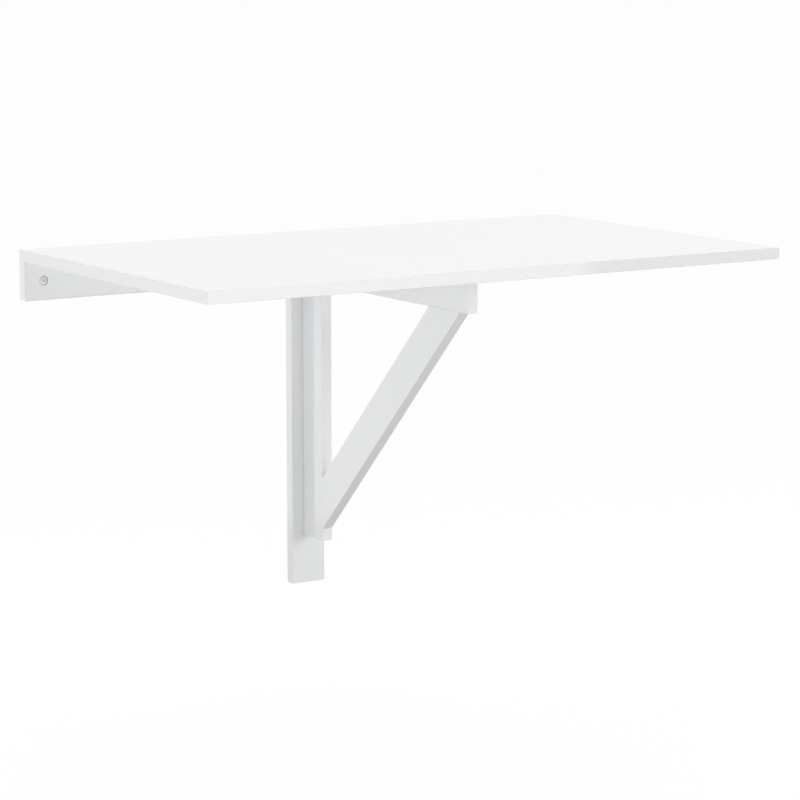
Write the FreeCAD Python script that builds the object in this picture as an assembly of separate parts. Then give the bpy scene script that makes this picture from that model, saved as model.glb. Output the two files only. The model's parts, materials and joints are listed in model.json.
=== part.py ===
import FreeCAD, Part
import math
import os

# Wall table with a hinged drop leaf, held up by a triangular gate that swings out from a batten.
# The origin is at the middle of the rail's back face, on the wall. +X runs along the wall,
# +Y points into the wall and +Z points up. Lengths are in millimetres.

# Boards
board = 18.0  # thickness of every board
arris = 0.5  # rounding of the boards' edges
table_width = 1000.0
table_depth = 600.0
strip_depth = 60.0  # part of the top that stays on the rail
seam = 0.4  # gap between that strip and the leaf
rail_height = 60.0
batten_width = 60.0
batten_height = 500.0

# Gate
gate_height = 480.0  # from the underside of the top to the stile's foot
gate_reach = 480.0  # from the batten's face to the end of the arm
stile_width = 60.0
arm_drop = 60.0  # from the underside of the top to the arm's lower edge
arm_clear = 1.0  # between the arm and the knuckles that it passes under
brace_width = 60.0
brace_setback = 20.0  # from the stile's foot and the arm's end to the brace

# Clearances
running_gap = 0.3  # between pieces that move past each other
fit_gap = 0.05  # around pins, screws and dowels
recess_gap = 0.2  # around the plates let into the boards
overrun = 2.0  # how far a cut runs past the face that it starts from
on_face = 0.01  # an edge this close to a face lies on it

# Wall screw holes
wall_hole_r = 2.5
wall_head_r = 7.5
wall_head_depth = 4.0
rail_hole_inset = 32.0  # from the rail's ends to its outer holes
rail_inner_hole_share = 0.156  # of the table's width, from the middle to the inner holes
batten_hole_inset = 100.0  # from the batten's ends

# Dowels
dowel_r = 4.0
dowel_length = 30.0
dowel_chamfer = 1.0
dowel_face_depth = 12.0  # where a dowel enters a board through its face
strip_dowel_shares = (-0.42, -0.21, 0.0, 0.21, 0.42)  # of the table's width
batten_dowel_shares = (-0.25, 0.25)  # of the batten's width
arm_dowel_shares = (0.25, 0.75)  # of the arm's height
brace_dowel_shares = (0.3, 0.7)  # of the brace's seats

# Hinges under the top
leaf_hinge_length = 60.0
leaf_plate_width = 26.0
leaf_plate = 1.6
leaf_knuckle_r = 3.0
leaf_pin_r = 1.5
leaf_screw_edge = 9.0  # from the plate's long edge to its screws
leaf_hinge_shares = (-0.38, -0.15, 0.15, 0.38)  # of the table's width

# Hinges of the gate
gate_hinge_length = 50.0
gate_plate_width = 16.0
gate_plate = 1.6
gate_knuckle_r = 2.8
gate_knuckle_gap = 0.2  # between the knuckles and the boards
gate_pin_r = 1.4
gate_screw_edge = 6.0
gate_hinge_shares = (0.11, 0.5, 0.89)  # of the way from the batten's top to the stile's foot

# Parts of every hinge
knuckle_count = 5
hinge_screw_count = 3  # in each plate
pin_chamfer = 0.3

# Hinge screws
screw_r = 1.5
screw_head_r = 3.0
screw_length = 12.0
screw_slot_width = 0.8
screw_slot_depth = 0.7
screw_slot_span_share = 0.55  # of the head's diameter

# Glide pad on the arm
pad_r = 7.5
pad_round = 0.8
pad_inset = 24.0  # from the arm's end
pad_spigot_r = 3.0
pad_spigot_depth = 10.0

# Levels and places worked out from the sizes above
underside = rail_height / 2
top_face = underside + board
rail_foot = -rail_height / 2
batten_foot = rail_foot - batten_height
seam_y = -strip_depth
wall_face = 0.0
front_y = -board  # front of the rail and the batten
table_end = table_width / 2
gate_side = board / 2
stile_back = front_y - running_gap
stile_front = front_y - stile_width
stile_foot = underside - gate_height
arm_end = front_y - gate_reach
arm_top = underside - leaf_knuckle_r - arm_clear
arm_foot = underside - arm_drop
gate_pin_offset = gate_knuckle_r + gate_knuckle_gap
gate_pin_x = gate_side + gate_pin_offset
gate_pin_y = front_y - gate_pin_offset
dowel_depth = dowel_length / 2

X_AXIS = FreeCAD.Vector(1, 0, 0)
Y_AXIS = FreeCAD.Vector(0, 1, 0)
Z_AXIS = FreeCAD.Vector(0, 0, 1)


def block(low, high):
    """A box between two corners."""
    size = [b - a for a, b in zip(low, high)]
    return Part.makeBox(*size, FreeCAD.Vector(*low))


def lies_on(edge, butt):
    """Does an edge lie in the plane of a butt joint, given as an axis and a level?"""
    axis, level = butt
    return all(abs(vertex.Point.dot(axis) - level) < on_face for vertex in edge.Vertexes)


def rounded(shape, *butts):
    """A board with its edges rounded, except those that butt against another board."""
    edges = [edge for edge in shape.Edges if not any(lies_on(edge, butt) for butt in butts)]
    return shape.makeFillet(arris, edges)


def rod(radius, length, base, direction, chamfer=0.0):
    """A cylinder from base along direction, with chamfered ends where a chamfer is given."""
    shape = Part.makeCylinder(radius, length, base, direction)
    if chamfer:
        rims = [edge for edge in shape.Edges if edge.Closed]
        shape = shape.makeChamfer(chamfer, rims)
    return shape


def set_in(shape, origin, out, seat):
    """A hinge piece moved to its pin. Its plate reaches along out, and its board lies towards seat."""
    copy = shape.copy()
    turn = FreeCAD.Rotation(out, seat, out.cross(seat), "XYZ")
    copy.Placement = FreeCAD.Placement(origin, turn)
    return copy


class Hinge:
    """One size of butt hinge, made about its pin, which runs along Z.

    A plate reaches along X. Its board's face is at Y = seat, and its screws point along Y.
    """

    def __init__(self, length, width, plate, seat, knuckle_r, pin_r, screw_edge):
        self.length = length
        self.width = width
        self.plate = plate
        self.seat = seat
        self.knuckle_r = knuckle_r
        self.pin_r = pin_r
        self.screw_x = width - screw_edge
        self.foot = -length / 2
        self.pitch = length / knuckle_count
        self.exposed = seat - plate

    def screw_places(self):
        step = self.length / hinge_screw_count
        heights = [self.foot + step * (i + 0.5) for i in range(hinge_screw_count)]
        return [FreeCAD.Vector(self.screw_x, self.exposed, z) for z in heights]

    def knuckles(self, first):
        """Barrels on every second place from first, and slots for those of the other plate."""
        barrels = []
        slots = []
        reach = self.knuckle_r + running_gap
        half_gap = running_gap / 2
        for i in range(knuckle_count):
            low = self.foot + i * self.pitch
            if i % 2 == first:
                base = FreeCAD.Vector(0, 0, low + half_gap)
                barrels.append(rod(self.knuckle_r, self.pitch - running_gap, base, Z_AXIS))
            else:
                corner = (-reach, -reach, low - half_gap)
                far = (reach, reach, low + self.pitch + half_gap)
                slots.append(block(corner, far))
        return barrels, slots

    def plate_half(self, first):
        """A plate with its own barrels, slotted for the other plate's, with its bore and screw holes."""
        barrels, slots = self.knuckles(first)
        corner = (0, self.exposed, self.foot)
        shape = block(corner, (self.width, self.seat, self.foot + self.length))
        for slot in slots:
            shape = shape.cut(slot)
        shape = shape.fuse(barrels)
        bore_base = FreeCAD.Vector(0, 0, self.foot - overrun)
        bore = rod(self.pin_r + fit_gap, self.length + 2 * overrun, bore_base, Z_AXIS)
        shape = shape.cut(bore)
        for place in self.screw_places():
            shape = shape.cut(screw_room(place))
        return shape.removeSplitter()

    def pin(self):
        base = FreeCAD.Vector(0, 0, self.foot)
        return rod(self.pin_r, self.length, base, Z_AXIS, pin_chamfer)

    def screws(self):
        return [screw(place) for place in self.screw_places()]

    def recess(self):
        """The room that a plate let into a board takes up, with its barrels' groove."""
        low = self.foot - recess_gap
        corner = (0, -overrun, low)
        room = block(corner, (self.width + recess_gap, self.seat, -low))
        base = FreeCAD.Vector(0, 0, low)
        groove = rod(self.knuckle_r + running_gap, -2 * low, base, Z_AXIS)
        return room.fuse(groove)

    def screw_holes(self):
        """The pilot holes of a plate's screws."""
        depth = screw_length + running_gap
        return [rod(screw_r + fit_gap, depth, place, Y_AXIS) for place in self.screw_places()]


def screw(place):
    """A countersunk screw along Y, with its head's face at place and a crossed slot."""
    head_depth = screw_head_r - screw_r
    head = Part.makeCone(screw_head_r, screw_r, head_depth, place, Y_AXIS)
    tip_base = place + Y_AXIS * (screw_length - screw_r)
    shank = rod(screw_r, screw_length - screw_r, place, Y_AXIS)
    tip = Part.makeCone(screw_r, 0, screw_r, tip_base, Y_AXIS)
    shape = head.fuse([shank, tip])
    half_span = screw_head_r * screw_slot_span_share
    half_width = screw_slot_width / 2
    for half_x, half_z in ((half_span, half_width), (half_width, half_span)):
        corner = (place.x - half_x, place.y - overrun, place.z - half_z)
        far = (place.x + half_x, place.y + screw_slot_depth, place.z + half_z)
        shape = shape.cut(block(corner, far))
    return shape.removeSplitter()


def screw_room(place):
    """The countersink and hole that a plate has for a screw."""
    wide = screw_head_r + fit_gap
    narrow = screw_r + fit_gap
    sink = Part.makeCone(wide, narrow, wide - narrow, place, Y_AXIS)
    start = place - Y_AXIS * overrun
    hole = rod(narrow, screw_length, start, Y_AXIS)
    return sink.fuse(hole)


def dowel(seat, direction, depth_behind):
    """A dowel across a joint at seat. It reaches depth_behind back from the joint, against direction."""
    return rod(dowel_r, dowel_length, seat - direction * depth_behind, direction, dowel_chamfer)


def dowel_holes(seats, direction, depth_behind):
    """The holes of a joint's dowels, on both sides of the joint."""
    length = dowel_length + 2 * running_gap
    start = depth_behind + running_gap
    return [rod(dowel_r + fit_gap, length, seat - direction * start, direction) for seat in seats]


def wall_hole(x, z):
    """A screw hole through to the wall, counterbored from the front for the screw's head."""
    base = FreeCAD.Vector(x, front_y - overrun, z)
    hole = rod(wall_hole_r, board + 2 * overrun, base, Y_AXIS)
    sink = rod(wall_head_r, wall_head_depth + overrun, base, Y_AXIS)
    return hole.fuse(sink)


def brace_outline():
    """The brace's corners as (y, z): on the stile from the foot up, then on the arm."""
    low = (stile_front, stile_foot + brace_setback)
    tip = (arm_end + brace_setback, arm_foot)
    rise = (tip[1] - low[1]) / (low[0] - tip[0])
    slope = math.atan(rise)
    up_stile = brace_width / math.cos(slope)
    back_arm = brace_width / math.sin(slope)
    return low, (low[0], low[1] + up_stile), (tip[0] + back_arm, tip[1]), tip


def brace_solid(outline):
    points = [FreeCAD.Vector(-gate_side, y, z) for y, z in outline]
    face = Part.Face(Part.makePolygon(points + points[:1]))
    return rounded(face.extrude(X_AXIS * board), (Y_AXIS, stile_front), (Z_AXIS, arm_foot))


def along(start, end, shares):
    """Points at shares of the way from one (y, z) to another, in the gate's mid plane."""
    first = FreeCAD.Vector(0, *start)
    last = FreeCAD.Vector(0, *end)
    return [first + (last - first) * share for share in shares]


leaf_hinge = Hinge(
    leaf_hinge_length, leaf_plate_width, leaf_plate, leaf_plate,
    leaf_knuckle_r, leaf_pin_r, leaf_screw_edge,
)
gate_hinge = Hinge(
    gate_hinge_length, gate_plate_width, gate_plate, gate_pin_offset,
    gate_knuckle_r, gate_pin_r, gate_screw_edge,
)
leaf_pins = [FreeCAD.Vector(table_width * share, seam_y, underside) for share in leaf_hinge_shares]
gate_pins = [
    FreeCAD.Vector(gate_pin_x, gate_pin_y, rail_foot + (stile_foot - rail_foot) * share)
    for share in gate_hinge_shares
]

# Where the plates of a hinge lie: the way a plate reaches, and the way to its board
ON_STRIP = (Y_AXIS, Z_AXIS)
ON_LEAF = (-Y_AXIS, Z_AXIS)
ON_BATTEN = (X_AXIS, Y_AXIS)
ON_STILE = (-Y_AXIS, -X_AXIS)

# Places of the dowels
strip_seats = [FreeCAD.Vector(table_width * share, front_y / 2, underside) for share in strip_dowel_shares]
batten_seats = [FreeCAD.Vector(batten_width * share, front_y / 2, rail_foot) for share in batten_dowel_shares]
outline = brace_outline()
arm_seats = along((stile_front, arm_foot), (stile_front, arm_top), arm_dowel_shares)
stile_brace_seats = along(outline[0], outline[1], brace_dowel_shares)
arm_brace_seats = along(outline[3], outline[2], brace_dowel_shares)


def hinge_cuts(hinge, pins, side, let_in):
    """What a board loses to the hinges on it."""
    cuts = []
    for pin in pins:
        shapes = hinge.screw_holes()
        if let_in:
            shapes.append(hinge.recess())
        cuts += [set_in(shape, pin, *side) for shape in shapes]
    return cuts


def wall_rail():
    shape = block((-table_end, front_y, rail_foot), (table_end, wall_face, underside))
    shape = rounded(shape, (Z_AXIS, underside))
    outer = table_end - rail_hole_inset
    inner = table_width * rail_inner_hole_share
    cuts = [wall_hole(x, 0) for x in (-outer, -inner, inner, outer)]
    cuts += dowel_holes(strip_seats, Z_AXIS, dowel_length - dowel_face_depth)
    cuts += dowel_holes(batten_seats, Z_AXIS, dowel_depth)
    return shape.cut(cuts)


def wall_batten():
    half = batten_width / 2
    shape = rounded(block((-half, front_y, batten_foot), (half, wall_face, rail_foot)), (Z_AXIS, rail_foot))
    cuts = [wall_hole(0, z) for z in (rail_foot - batten_hole_inset, batten_foot + batten_hole_inset)]
    cuts += dowel_holes(batten_seats, Z_AXIS, dowel_depth)
    cuts += hinge_cuts(gate_hinge, gate_pins, ON_BATTEN, False)
    return shape.cut(cuts)


def fixed_top_strip():
    front = seam_y + seam / 2
    shape = block((-table_end, front, underside), (table_end, wall_face, top_face))
    shape = rounded(shape, (Y_AXIS, front))
    cuts = dowel_holes(strip_seats, Z_AXIS, dowel_length - dowel_face_depth)
    cuts += hinge_cuts(leaf_hinge, leaf_pins, ON_STRIP, True)
    return shape.cut(cuts)


def leaf_panel():
    back = seam_y - seam / 2
    shape = block((-table_end, -table_depth, underside), (table_end, back, top_face))
    shape = rounded(shape, (Y_AXIS, back))
    return shape.cut(hinge_cuts(leaf_hinge, leaf_pins, ON_LEAF, True))


def gate_stile():
    shape = rounded(block((-gate_side, stile_front, stile_foot), (gate_side, stile_back, arm_top)))
    cuts = dowel_holes(arm_seats + stile_brace_seats, Y_AXIS, dowel_depth)
    cuts += hinge_cuts(gate_hinge, gate_pins, ON_STILE, False)
    return shape.cut(cuts)


def gate_arm():
    shape = block((-gate_side, arm_end, arm_foot), (gate_side, stile_front, arm_top))
    shape = rounded(shape, (Y_AXIS, stile_front))
    cuts = dowel_holes(arm_seats, Y_AXIS, dowel_depth)
    cuts += dowel_holes(arm_brace_seats, Z_AXIS, dowel_depth)
    spigot_base = pad_place() - Z_AXIS * (pad_spigot_depth + running_gap)
    cuts.append(rod(pad_spigot_r + fit_gap, pad_spigot_depth + overrun, spigot_base, Z_AXIS))
    return shape.cut(cuts)


def gate_brace():
    cuts = dowel_holes(stile_brace_seats, Y_AXIS, dowel_depth)
    cuts += dowel_holes(arm_brace_seats, Z_AXIS, dowel_depth)
    return brace_solid(outline).cut(cuts)


def pad_place():
    return FreeCAD.Vector(0, arm_end + pad_inset, arm_top)


def glide_pad():
    """A disc that the leaf rests on, with a spigot pressed into the arm's top edge."""
    height = underside - running_gap - arm_top
    disc = rod(pad_r, height, pad_place(), Z_AXIS)
    rim = max((edge for edge in disc.Edges if edge.Closed), key=lambda edge: edge.BoundBox.ZMin)
    disc = disc.makeFillet(pad_round, [rim])
    spigot = rod(pad_spigot_r, pad_spigot_depth, pad_place() - Z_AXIS * pad_spigot_depth, Z_AXIS)
    return disc.fuse(spigot).removeSplitter()


def dowels(seats, direction, depth_behind):
    return Part.makeCompound([dowel(seat, direction, depth_behind) for seat in seats])


def hinge_screws(hinge, pins, side):
    return Part.makeCompound([set_in(one, pin, *side) for pin in pins for one in hinge.screws()])


def hinge_nodes(name, hinge, pins, fixed_side, swing_side):
    """Each hinge's plates and pin, and the screws of each side as one group."""
    made = {}
    for number, pin in enumerate(pins, 1):
        made[f"{name}_{number}_fixed_plate"] = set_in(hinge.plate_half(0), pin, *fixed_side)
        made[f"{name}_{number}_swing_plate"] = set_in(hinge.plate_half(1), pin, *swing_side)
        made[f"{name}_{number}_pin"] = set_in(hinge.pin(), pin, *fixed_side)
    made[f"{name}_fixed_screws"] = hinge_screws(hinge, pins, fixed_side)
    made[f"{name}_swing_screws"] = hinge_screws(hinge, pins, swing_side)
    return made


nodes = {
    "wall_rail": wall_rail(),
    "wall_batten": wall_batten(),
    "fixed_top_strip": fixed_top_strip(),
    "leaf_panel": leaf_panel(),
    "gate_stile": gate_stile(),
    "gate_arm": gate_arm(),
    "gate_brace": gate_brace(),
    "glide_pad": glide_pad(),
    "rail_strip_dowels": dowels(strip_seats, Z_AXIS, dowel_length - dowel_face_depth),
    "rail_batten_dowels": dowels(batten_seats, Z_AXIS, dowel_depth),
    "stile_arm_dowels": dowels(arm_seats, Y_AXIS, dowel_depth),
    "stile_brace_dowels": dowels(stile_brace_seats, Y_AXIS, dowel_depth),
    "arm_brace_dowels": dowels(arm_brace_seats, Z_AXIS, dowel_depth),
}
nodes.update(hinge_nodes("leaf_hinge", leaf_hinge, leaf_pins, ON_STRIP, ON_LEAF))
nodes.update(hinge_nodes("gate_hinge", gate_hinge, gate_pins, ON_BATTEN, ON_STILE))

os.makedirs("parts", exist_ok=True)
for name, shape in nodes.items():
    shape.exportStep(f"parts/{name}.step")
    print(name, len(shape.Solids), shape.isValid(), round(shape.Volume, 1))
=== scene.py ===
import json
import math

import bmesh
import bpy
from mathutils import Matrix, Vector


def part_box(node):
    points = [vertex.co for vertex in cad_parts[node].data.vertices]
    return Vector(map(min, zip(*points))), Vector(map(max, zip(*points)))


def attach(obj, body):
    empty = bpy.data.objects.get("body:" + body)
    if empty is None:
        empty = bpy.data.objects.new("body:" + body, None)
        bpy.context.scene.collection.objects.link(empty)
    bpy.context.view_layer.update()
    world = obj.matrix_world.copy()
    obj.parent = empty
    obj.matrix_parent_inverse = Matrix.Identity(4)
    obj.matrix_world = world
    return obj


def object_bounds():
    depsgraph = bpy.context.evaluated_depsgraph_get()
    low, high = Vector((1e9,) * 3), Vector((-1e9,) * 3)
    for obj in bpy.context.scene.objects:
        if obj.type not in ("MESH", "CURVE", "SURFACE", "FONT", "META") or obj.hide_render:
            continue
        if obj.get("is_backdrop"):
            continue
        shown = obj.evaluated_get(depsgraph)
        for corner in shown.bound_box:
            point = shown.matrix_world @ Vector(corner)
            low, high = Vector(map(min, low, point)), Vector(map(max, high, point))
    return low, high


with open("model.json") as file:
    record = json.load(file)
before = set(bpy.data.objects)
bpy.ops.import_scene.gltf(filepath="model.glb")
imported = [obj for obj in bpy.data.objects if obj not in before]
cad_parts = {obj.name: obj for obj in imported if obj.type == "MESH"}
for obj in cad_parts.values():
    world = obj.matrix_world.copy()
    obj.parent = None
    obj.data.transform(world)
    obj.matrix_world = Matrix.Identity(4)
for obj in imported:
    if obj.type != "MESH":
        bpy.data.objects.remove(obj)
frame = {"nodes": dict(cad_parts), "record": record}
cad_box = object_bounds()
nodes = frame["nodes"]
record = frame["record"]

# Wall table in high gloss white, seen from the front left and a little above. Lengths are in metres.
MM_PER_METRE = 1000

# Camera
CAMERA_PLACE = (-2.3702, -4.0286, 0.5495)
CAMERA_YAW = math.radians(32.43)  # to the right of straight at the wall
CAMERA_PITCH = math.radians(9.47)  # below level
CAMERA_LENS_MM = 130.4
SENSOR_MM = 36.0

# Floor
TABLE_HEIGHT = 0.75  # of the top over the floor
FLOOR_SPAN = 120.0
FLOOR_CELLS = 4  # along each side
FLOOR_BOUNCE = (0.2, 0.2, 0.2)  # its colour in the light that it throws back at the table
FLOOR_WHITE = (0.97, 0.97, 0.97)  # its colour to the camera and in gloss
FLOOR_DIM_SHARE = 0.985  # of that white, in its duller patches
FLOOR_PATCH_SIZE = 0.8
FLOOR_ROUGHNESS = 0.9
FLOOR_GLOW_SHARE = 0.85  # of its look to the camera and in gloss that is plain white and takes no shadow

# Sky, where neither the camera nor gloss sees it: its mean strength, and how it brightens along each axis
SKY_WHITE = (1, 1, 1)
SKY_LEVEL = 1.03
SKY_SLOPE = (0.82, 0.62, -0.16)

# Lamps: where the middle stands, the way it faces, width, height, and brightness against white.
# Gloss mirrors the softboxes but not the fills.
SOFTBOXES = {
    "rear_softbox": ((-0.8, 1.0, -0.37), (0.8, -1.1, 0), 1.1, 0.64, 0.4),
    "step_softbox": ((1.05, -2.6, -0.28), (0, 1, 0), 1.1, 0.42, 1.03),
}
FILLS = {
    "left_fill": ((-1.7, -0.35, -0.36), (1, 0, 0), 3.2, 0.68, 1.23),
    "far_left_fill": ((-4.2, -0.6, -0.3), (1, 0, 0), 4.0, 0.8, 1.65),
    "front_left_fill": ((-3.4, -3.6, 0.1), (3.2, 3.3, -0.2), 3.0, 1.6, 2.85),
    "front_fill": ((0.2, -4.4, -0.3), (0, 1, 0), 3.0, 0.8, 4.5),
    "front_right_fill": ((2.6, -2.2, 0.8), (-2.2, 1.9, -0.8), 2.4, 1.0, 2.7),
    "under_left_fill": ((-0.46, -0.4, -0.28), (1, 0.1, 0), 0.36, 0.26, 0.55),
    "under_right_fill": ((0.46, -0.4, -0.16), (-1, 0.15, 0), 0.36, 0.22, 1.35),
}

# White boards
WHITE = (0.852, 0.860, 0.868)
WHITE_DIM = (0.838, 0.846, 0.854)
GLOSS_ROUGHNESS = (0.035, 0.075)
GLOSS_IOR = 1.85
CLOUD_SIZE = 0.35
SMEAR_SIZE = 0.0875
PEEL_SIZE = 0.004  # of the lacquer's ripples
PEEL_DEPTH = 0.00002
BAND_THICKNESS = 0.0012  # of the edge bands round the boards
BAND_LINE = 0.00025  # width of the line where a band meets the face
BAND_LINE_DEPTH = 0.00004
BAND_LINE_GREY = (0.62, 0.62, 0.61)
BAND_LINE_SHARE = 0.35  # of that grey in the line's colour

# Plated metal. Its lines are noise that a small scale draws out along an axis.
NICKEL = (0.66, 0.65, 0.63)
NICKEL_ROUGHNESS = (0.2, 0.34)
LINES_ALONG_X = (0.04, 1, 1)
LINES_ALONG_Z = (1, 1, 0.04)
PIN_STEEL = (0.56, 0.56, 0.56)
PIN_ROUGHNESS = (0.18, 0.3)
PIN_MARKS = (0.3, 0.3, 0.3)
ZINC = (0.90, 0.90, 0.89)
ZINC_ROUGHNESS = (0.4, 0.55)
ZINC_MARKS = (0.5, 0.5, 0.5)
MARK_SIZE = 0.0009
MARK_DEPTH = 0.00001
TARNISH_SIZE = 0.012
TARNISH_SHARE = 0.82  # of the metal's colour, where it is tarnished
TARNISH_ROUGHNESS = 0.06  # that it gains there

# Plastic of the glide pad
PLASTIC = (0.80, 0.80, 0.78)
PLASTIC_DIM_SHARE = 0.93  # of that colour, in its duller patches
PLASTIC_PATCH_SIZE = 0.006
PLASTIC_ROUGHNESS = (0.42, 0.6)
PLASTIC_GRAIN_SIZE = 0.0006
PLASTIC_GRAIN_DEPTH = 0.00003

# Beech of the dowels
BEECH_PALE = (0.62, 0.44, 0.27)
BEECH_DARK = (0.49, 0.32, 0.18)
BEECH_ROUGHNESS = (0.5, 0.7)
BEECH_GRAIN_SIZE = 0.0012
BEECH_GRAIN_SCALE = (1, 1, 0.08)
BEECH_GRAIN_DEPTH = 0.00004
FLECK_BROWN = (0.30, 0.18, 0.09)
FLECK_SIZE = 0.0005
FLECK_SCALE = (1, 1, 0.3)
FLECK_RANGE = (0.6, 0.75)  # of the noise, from no fleck to a full one

# Wall screws in the counterbored holes
COUNTERBORE_DEPTH = 0.004
SCREW_HEAD_R = 0.0070
SCREW_HEAD_HEIGHT = 0.0038
SCREW_RIM_HEIGHT = 0.0030
SCREW_RIM_ROUND = 0.0005
SCREW_SHANK_R = 0.0022
SCREW_SLOT_LENGTH = 0.0048
SCREW_SLOT_WIDTH = 0.0011
SCREW_SLOT_DEPTH = 0.0013
SCREW_TURN = math.radians(37)  # from one screw's slot to the next one's
TURN_STEPS = 64  # round the screw
CURVE_STEPS = 6  # along the curves of its head
SMOOTH_ANGLE = math.radians(35)

# Node graphs
NOISE_RANGE = (0.3, 0.7)  # where most of a noise's values lie
FULL_RANGE = (0, 1)
MIX_FIRST = 6  # a mix node's sockets for colours
MIX_SECOND = 7
MIX_RESULT = 2


class Graph:
    """A node tree, with short ways to add nodes and to feed their inputs."""

    def __init__(self, tree):
        self.tree = tree
        tree.nodes.clear()

    def feed(self, socket, value):
        """Joins another node's output to an input, or sets the input to a constant."""
        if isinstance(value, bpy.types.NodeSocket):
            self.tree.links.new(value, socket)
        elif socket.type == "RGBA":
            socket.default_value = (*value, 1)
        else:
            socket.default_value = value

    def add(self, kind, inputs=None, **settings):
        """A new node, fed at the inputs that are given by name or number."""
        node = self.tree.nodes.new(kind)
        for key, value in settings.items():
            setattr(node, key, value)
        for key, value in (inputs or {}).items():
            self.feed(node.inputs[key], value)
        return node

    def math(self, operation, *values):
        node = self.add("ShaderNodeMath", dict(enumerate(values)), operation=operation)
        return node.outputs[0]

    def choose(self, amount, first, second):
        """A mix of two shader nodes: the first at 0 and the second at 1."""
        inputs = {0: amount, 1: first.outputs[0], 2: second.outputs[0]}
        return self.add("ShaderNodeMixShader", inputs).outputs[0]

    def seen_rays(self):
        """1 for rays that show the background: those of the camera, of gloss and of glass."""
        path = self.add("ShaderNodeLightPath")
        seen = path.outputs["Is Camera Ray"]
        for kind in ("Is Glossy Ray", "Is Transmission Ray"):
            seen = self.math("MAXIMUM", seen, path.outputs[kind])
        return seen


class Shader(Graph):
    """A material's node tree, round one surface."""

    def __init__(self, name):
        self.material = bpy.data.materials.new(name)
        self.material.use_nodes = True
        super().__init__(self.material.node_tree)
        self.surface = self.add("ShaderNodeBsdfPrincipled")
        self.output = self.add("ShaderNodeOutputMaterial", {"Surface": self.surface.outputs["BSDF"]})

    def paint(self, inputs):
        """Feeds the surface, and gives back the material."""
        for key, value in inputs.items():
            self.feed(self.surface.inputs[key], value)
        return self.material

    def place(self, scale=(1, 1, 1)):
        """Places in the object's frame, scaled along the axes."""
        where = self.add("ShaderNodeTexCoord")
        mapping = self.add("ShaderNodeMapping", {"Vector": where.outputs["Object"], "Scale": scale})
        return mapping.outputs["Vector"]

    def noise(self, place, size, detail=3.0, roughness=0.5):
        """Noise whose features are about size across, from 0 to 1."""
        inputs = {"Vector": place, "Scale": 1 / size, "Detail": detail, "Roughness": roughness}
        return self.add("ShaderNodeTexNoise", inputs).outputs["Fac"]

    def spread(self, value, target, source=NOISE_RANGE):
        """A value moved from the source range to the target range."""
        inputs = {"Value": value}
        inputs["From Min"], inputs["From Max"] = source
        inputs["To Min"], inputs["To Max"] = target
        return self.add("ShaderNodeMapRange", inputs).outputs["Result"]

    def blend(self, amount, first, second):
        """A mix of two colours, each a constant or a socket."""
        inputs = {"Factor": amount, MIX_FIRST: first, MIX_SECOND: second}
        return self.add("ShaderNodeMix", inputs, data_type="RGBA").outputs[MIX_RESULT]

    def bump(self, height, depth, under=None):
        """A bump of a real depth, on top of another bump where one is given."""
        node = self.add("ShaderNodeBump", {"Height": height, "Distance": depth})
        if under is not None:
            self.feed(node.inputs["Normal"], under)
        return node.outputs["Normal"]


def dimmed(colour, share):
    return tuple(share * part for part in colour)


def band_lines(shader, size):
    """1 on the lines where a board's edge bands meet its faces, from the board's box."""
    where = shader.add("ShaderNodeTexCoord")
    split = shader.add("ShaderNodeSeparateXYZ", {"Vector": where.outputs["Generated"]})
    thin = min(range(3), key=lambda axis: size[axis])
    reach = []
    for axis in (a for a in range(3) if a != thin):
        near = split.outputs[axis]
        far = shader.math("SUBTRACT", 1.0, near)
        reach.append(shader.math("MULTIPLY", shader.math("MINIMUM", near, far), size[axis]))
    edge = shader.math("MINIMUM", *reach)
    off = shader.math("ABSOLUTE", shader.math("SUBTRACT", edge, BAND_THICKNESS))
    return shader.spread(off, (1, 0), (0, BAND_LINE))


def gloss_white(name, size=None):
    """White high gloss board: faint clouds and smears, rippled lacquer, and lines at its edge bands."""
    shader = Shader(name)
    place = shader.place()
    clouds = shader.spread(shader.noise(place, CLOUD_SIZE), FULL_RANGE)
    colour = shader.blend(clouds, WHITE, WHITE_DIM)
    smears = shader.noise(place, SMEAR_SIZE, detail=6.0, roughness=0.62)
    ripples = shader.noise(place, PEEL_SIZE, detail=1.0)
    normal = shader.bump(ripples, PEEL_DEPTH)
    if size is not None:
        lines = band_lines(shader, size)
        colour = shader.blend(shader.math("MULTIPLY", lines, BAND_LINE_SHARE), colour, BAND_LINE_GREY)
        normal = shader.bump(shader.math("SUBTRACT", 1.0, lines), BAND_LINE_DEPTH, normal)
    return shader.paint({
        "Base Color": colour,
        "Roughness": shader.spread(smears, GLOSS_ROUGHNESS),
        "Normal": normal,
        "IOR": GLOSS_IOR,
    })


def plated_metal(name, tint, roughness, mark_scale):
    """Plated steel with fine lines or marks, and patches of faint tarnish."""
    shader = Shader(name)
    marks = shader.noise(shader.place(mark_scale), MARK_SIZE, detail=4.0)
    tarnish = shader.spread(shader.noise(shader.place(), TARNISH_SIZE, detail=4.0), FULL_RANGE)
    dull = shader.math("MULTIPLY", tarnish, TARNISH_ROUGHNESS)
    return shader.paint({
        "Base Color": shader.blend(tarnish, tint, dimmed(tint, TARNISH_SHARE)),
        "Roughness": shader.math("ADD", shader.spread(marks, roughness), dull),
        "Normal": shader.bump(marks, MARK_DEPTH),
        "Metallic": 1.0,
    })


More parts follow.
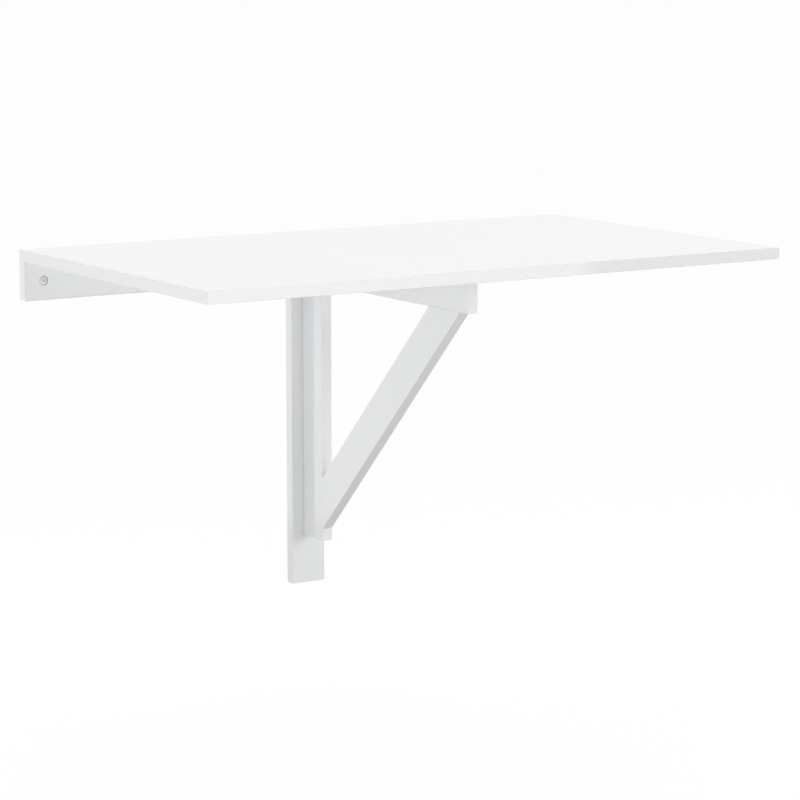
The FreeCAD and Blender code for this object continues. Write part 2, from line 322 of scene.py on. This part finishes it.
def moulded_plastic(name):
    """Matt white plastic with a fine spark-eroded grain."""
    shader = Shader(name)
    place = shader.place()
    grain = shader.noise(place, PLASTIC_GRAIN_SIZE, detail=2.0)
    patches = shader.spread(shader.noise(place, PLASTIC_PATCH_SIZE), FULL_RANGE)
    return shader.paint({
        "Base Color": shader.blend(patches, PLASTIC, dimmed(PLASTIC, PLASTIC_DIM_SHARE)),
        "Roughness": shader.spread(grain, PLASTIC_ROUGHNESS),
        "Normal": shader.bump(grain, PLASTIC_GRAIN_DEPTH),
    })


def beech(name):
    """Raw beech with upright grain and short dark flecks."""
    shader = Shader(name)
    grain = shader.noise(shader.place(BEECH_GRAIN_SCALE), BEECH_GRAIN_SIZE, detail=5.0)
    flecks = shader.spread(shader.noise(shader.place(FLECK_SCALE), FLECK_SIZE), FULL_RANGE, FLECK_RANGE)
    wood = shader.blend(shader.spread(grain, FULL_RANGE), BEECH_PALE, BEECH_DARK)
    return shader.paint({
        "Base Color": shader.blend(flecks, wood, FLECK_BROWN),
        "Roughness": shader.spread(grain, BEECH_ROUGHNESS),
        "Normal": shader.bump(grain, BEECH_GRAIN_DEPTH),
    })


def dress(mesh, material):
    """Gives a mesh one material."""
    mesh.materials.clear()
    mesh.materials.append(material)


def node_size(node):
    low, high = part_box(node)
    return Vector(high) - Vector(low)


def node_materials(zinc):
    """Each CAD node with its material. The brace slants in its box, so it has no lines at its bands."""
    leaf_hinge = plated_metal("leaf_hinge_nickel", NICKEL, NICKEL_ROUGHNESS, LINES_ALONG_X)
    gate_hinge = plated_metal("gate_hinge_nickel", NICKEL, NICKEL_ROUGHNESS, LINES_ALONG_Z)
    pin = plated_metal("pin_steel", PIN_STEEL, PIN_ROUGHNESS, PIN_MARKS)
    pad = moulded_plastic("pad_plastic")
    dowel = beech("beech_dowel")
    brace = gloss_white("brace_white")
    for name in nodes:
        if name.endswith("dowels"):
            yield name, dowel
        elif name.endswith("screws"):
            yield name, zinc
        elif name.endswith("pin"):
            yield name, pin
        elif name.startswith("leaf_hinge"):
            yield name, leaf_hinge
        elif name.startswith("gate_hinge"):
            yield name, gate_hinge
        elif name == "glide_pad":
            yield name, pad
        elif name == "gate_brace":
            yield name, brace
        else:
            yield name, gloss_white(f"{name}_white", node_size(name))


def put(name, data):
    """A new object in the scene."""
    thing = bpy.data.objects.new(name, data)
    bpy.context.scene.collection.objects.link(thing)
    return thing


def finished(made, name):
    """A mesh from a bmesh, which is freed."""
    mesh = bpy.data.meshes.new(name)
    made.to_mesh(mesh)
    made.free()
    return mesh


def turned(name, profile):
    """A closed mesh turned about the Y axis from (radius, y) points, first and last on the axis."""
    made = bmesh.new()
    rings = []
    for radius, y in profile:
        count = TURN_STEPS if radius else 1
        angles = [2 * math.pi * i / TURN_STEPS for i in range(count)]
        rings.append([made.verts.new((radius * math.cos(a), y, radius * math.sin(a))) for a in angles])
    for low, high in zip(rings, rings[1:]):
        for i in range(TURN_STEPS):
            j = i + 1
            corners = [low[i % len(low)], low[j % len(low)], high[j % len(high)], high[i % len(high)]]
            made.faces.new(list(dict.fromkeys(corners)))
    bmesh.ops.recalc_face_normals(made, faces=made.faces)
    return finished(made, name)


def slot_cutter(length, width):
    """A block at the top of a screw's head, as deep below it as above."""
    made = bmesh.new()
    shape = Matrix.Diagonal((length, 2 * SCREW_SLOT_DEPTH, width, 1))
    bmesh.ops.create_cube(made, size=1, matrix=shape)
    cutter = put("slot", finished(made, "slot"))
    cutter.location.y = -SCREW_HEAD_HEIGHT
    return cutter


def cut_slots(mesh):
    """The mesh of a screw with a crossed slot cut into its head."""
    blank = put("screw_blank", mesh)
    cutters = [
        slot_cutter(SCREW_SLOT_LENGTH, SCREW_SLOT_WIDTH),
        slot_cutter(SCREW_SLOT_WIDTH, SCREW_SLOT_LENGTH),
    ]
    for cutter in cutters:
        cut = blank.modifiers.new("slot", "BOOLEAN")
        cut.operation = "DIFFERENCE"
        cut.object = cutter
    depsgraph = bpy.context.evaluated_depsgraph_get()
    done = bpy.data.meshes.new_from_object(blank.evaluated_get(depsgraph))
    for spent in (blank, *cutters):
        bpy.data.objects.remove(spent)
    done.polygons.foreach_set("use_smooth", [True] * len(done.polygons))
    done.set_sharp_from_angle(angle=SMOOTH_ANGLE)
    return done


def wall_screw_mesh():
    """A low washer head screw. Its head's seat is at the origin, and its shank runs along +Y to the wall."""
    crown_r = SCREW_HEAD_R - SCREW_RIM_ROUND
    rise = SCREW_HEAD_HEIGHT - SCREW_RIM_HEIGHT
    rim_y = SCREW_RIM_ROUND - SCREW_RIM_HEIGHT
    steps = [i / CURVE_STEPS for i in range(CURVE_STEPS + 1)]
    profile = [(crown_r * t, rise * t * t - SCREW_HEAD_HEIGHT) for t in steps]
    for t in steps[1:]:
        angle = math.pi / 2 * t
        out = SCREW_RIM_ROUND * math.sin(angle)
        up = SCREW_RIM_ROUND * math.cos(angle)
        profile.append((crown_r + out, rim_y - up))
    board = -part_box("wall_rail")[0][1]
    shank_end = board - COUNTERBORE_DEPTH
    profile += [(SCREW_HEAD_R, 0), (SCREW_SHANK_R, 0), (SCREW_SHANK_R, shank_end), (0, shank_end)]
    return cut_slots(turned("wall_screw", profile))


def wall_screws(material):
    """A screw in each hole of the record's bolt patterns."""
    mesh = wall_screw_mesh()
    dress(mesh, material)
    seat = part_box("wall_rail")[0][1] + COUNTERBORE_DEPTH
    number = 0
    for mount in record["mounts"]:
        if mount["kind"] != "bolt_pattern":
            continue
        centre = Vector(mount["pos_m"])
        half_x = mount["dims"].get("spacing_x_mm", 0) / 2 / MM_PER_METRE
        half_z = mount["dims"].get("spacing_y_mm", 0) / 2 / MM_PER_METRE
        for side in (-1, 1):
            number += 1
            screw = put(f"wall_screw_{number}", mesh)
            screw.location = (centre.x + side * half_x, seat, centre.z + side * half_z)
            screw.rotation_euler.y = number * SCREW_TURN
            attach(screw, "wall_frame")


def floor_material():
    """Pale floor, white to the camera and in gloss, that keeps a soft shadow."""
    shader = Shader("pale_floor")
    seen = shader.seen_rays()
    patches = shader.spread(shader.noise(shader.place(), FLOOR_PATCH_SIZE), FULL_RANGE)
    pale = shader.blend(patches, FLOOR_WHITE, dimmed(FLOOR_WHITE, FLOOR_DIM_SHARE))
    shader.paint({
        "Base Color": shader.blend(seen, FLOOR_BOUNCE, pale),
        "Roughness": FLOOR_ROUGHNESS,
        "Specular IOR Level": 0.0,
    })
    glow = shader.add("ShaderNodeEmission")
    glow_share = shader.math("MULTIPLY", seen, FLOOR_GLOW_SHARE)
    shader.feed(shader.output.inputs["Surface"], shader.choose(glow_share, shader.surface, glow))
    return shader.material


def floor():
    made = bmesh.new()
    bmesh.ops.create_grid(made, x_segments=FLOOR_CELLS, y_segments=FLOOR_CELLS, size=FLOOR_SPAN / 2)
    plane = put("floor", finished(made, "floor"))
    plane.location.z = cad_box[1].z - TABLE_HEIGHT
    dress(plane.data, floor_material())
    plane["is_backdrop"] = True


def sky():
    """White to the camera and in gloss. To the rest a dome that brightens to the right and to the wall."""
    world = bpy.data.worlds.new("studio")
    bpy.context.scene.world = world
    world.use_nodes = True
    graph = Graph(world.node_tree)
    way = graph.add("ShaderNodeTexCoord").outputs["Generated"]
    along = graph.add("ShaderNodeVectorMath", {0: way, 1: SKY_SLOPE}, operation="DOT_PRODUCT")
    level = graph.math("ADD", along.outputs["Value"], SKY_LEVEL)
    dome = graph.add("ShaderNodeBackground", {"Color": SKY_WHITE, "Strength": level})
    white = graph.add("ShaderNodeBackground", {"Color": SKY_WHITE})
    graph.add("ShaderNodeOutputWorld", {"Surface": graph.choose(graph.seen_rays(), dome, white)})


def lamps(boxes, in_gloss):
    """Rectangular lamps that the camera doesn't see, and that gloss mirrors or not."""
    for name, (place, facing, width, height, brightness) in boxes.items():
        lamp = bpy.data.lights.new(name, "AREA")
        lamp.shape = "RECTANGLE"
        lamp.size = width
        lamp.size_y = height
        lamp.energy = brightness * math.pi * width * height
        holder = put(name, lamp)
        holder.location = place
        holder.rotation_euler = Vector(facing).to_track_quat("-Z", "Y").to_euler()
        holder.visible_camera = False
        holder.visible_glossy = in_gloss


def camera():
    lens = bpy.data.cameras.new("camera")
    lens.lens = CAMERA_LENS_MM
    lens.sensor_width = SENSOR_MM
    holder = put("camera", lens)
    holder.location = CAMERA_PLACE
    holder.rotation_euler = (math.pi / 2 - CAMERA_PITCH, 0, -CAMERA_YAW)
    bpy.context.scene.camera = holder


screw_zinc = plated_metal("screw_zinc", ZINC, ZINC_ROUGHNESS, ZINC_MARKS)
for node, node_material in node_materials(screw_zinc):
    dress(nodes[node].data, node_material)
wall_screws(screw_zinc)
floor()
sky()
lamps(SOFTBOXES, in_gloss=True)
lamps(FILLS, in_gloss=False)
camera()
bpy.context.scene.view_settings.view_transform = "Standard"

boxes = {"cad": cad_box, "visual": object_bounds()}
{name: [list(corner) for corner in box] for name, box in boxes.items()}
